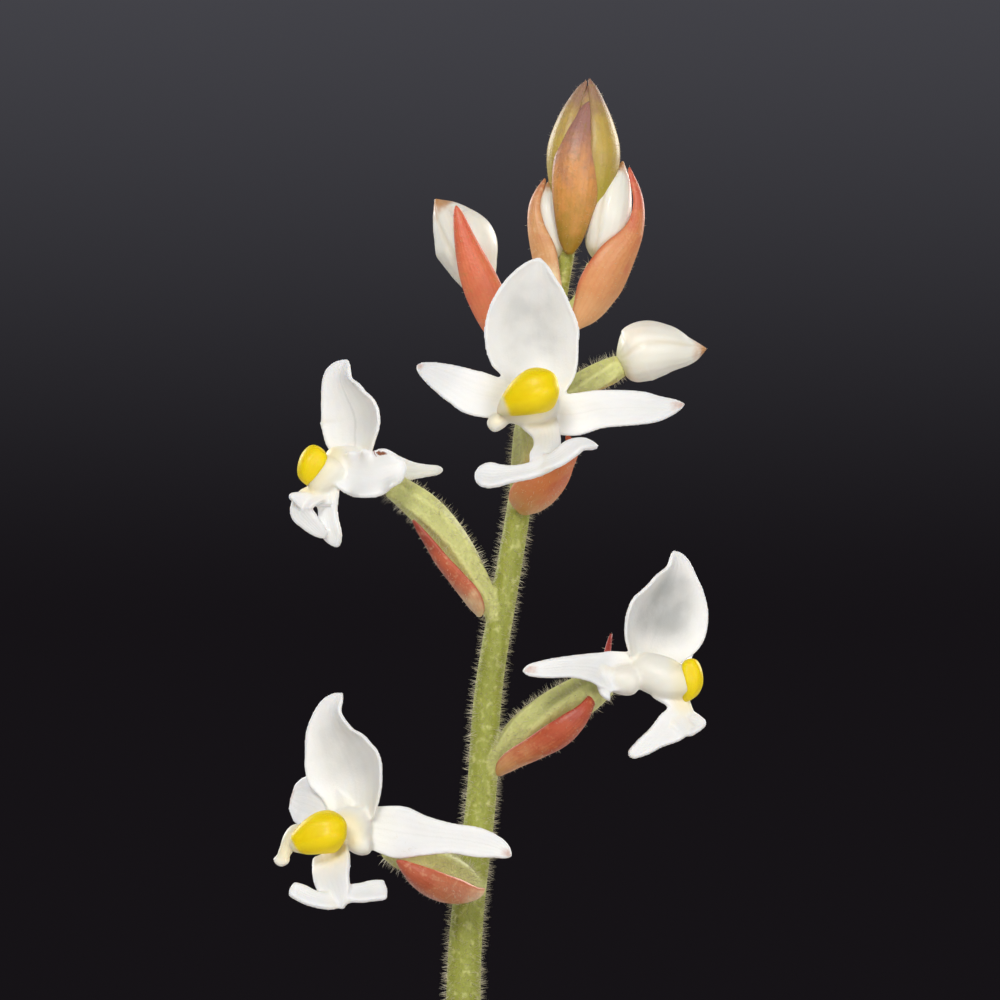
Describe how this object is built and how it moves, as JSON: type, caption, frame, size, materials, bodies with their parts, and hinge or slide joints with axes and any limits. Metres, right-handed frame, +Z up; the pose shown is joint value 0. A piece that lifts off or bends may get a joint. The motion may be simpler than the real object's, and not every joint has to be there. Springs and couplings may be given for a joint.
{
  "type": "potted jewel orchid",
  "caption": "Potted jewel orchid: clay pot of mix, dark copper-veined leaves on fleshy stems, and a tall spike of twisted white flowers with yellow caps.",
  "frame": {"origin": "centre of the pot's flat underside", "axes": "+Z up along the plant, longest; -Y towards the front of the flower spike, +X to its right"},
  "size_m": [0.1666, 0.1458, 0.2564],
  "materials": {
    "clay": "unglazed matt",
    "mix": "damp bark and peat",
    "stem": "satin, fleshy",
    "leaf": "velvety with copper veins",
    "stalk": "hairy, matt",
    "petal": "satin, waxy",
    "anther_cap": "glossy, waxy",
    "bract": "satin",
    "tip_bract": "satin"
  },
  "bodies": {
    "root": {"clay_pot": "clay", "potting_mix": "mix", "stem_main": "stem", "leaf_main_1": "leaf", "leaf_main_2": "leaf", "leaf_main_3": "leaf", "leaf_main_4": "leaf", "leaf_main_5": "leaf", "stem_left": "stem", "leaf_left_1": "leaf", "leaf_left_2": "leaf", "leaf_left_3": "leaf", "stem_right": "stem", "leaf_right_1": "leaf", "leaf_right_2": "leaf", "leaf_right_3": "leaf", "stem_back": "stem", "leaf_back_1": "leaf", "leaf_back_2": "leaf", "leaf_back_3": "leaf", "flower_stalk": "stalk", "stalk_sheath_1": "bract", "stalk_sheath_2": "bract", "stalk_sheath_3": "bract", "flower_front": "petal", "anther_cap_front": "anther_cap", "bract_front": "bract", "flower_left": "petal", "anther_cap_left": "anther_cap", "bract_left": "bract", "flower_right": "petal", "anther_cap_right": "anther_cap", "bract_right": "bract", "flower_lower": "petal", "anther_cap_lower": "anther_cap", "bract_lower": "bract", "bud_left": "petal", "bud_bract_left": "bract", "bud_right": "petal", "bud_bract_right": "bract", "bud_upper_right": "petal", "bud_bract_upper_right": "bract", "bud_upper_left": "petal", "bud_bract_upper_left": "bract", "tip_bud": "tip_bract", "tip_bract_front": "tip_bract", "tip_bract_right": "tip_bract", "tip_bract_left": "tip_bract", "tip_bract_back": "tip_bract"}
  },
  "joints": []
}
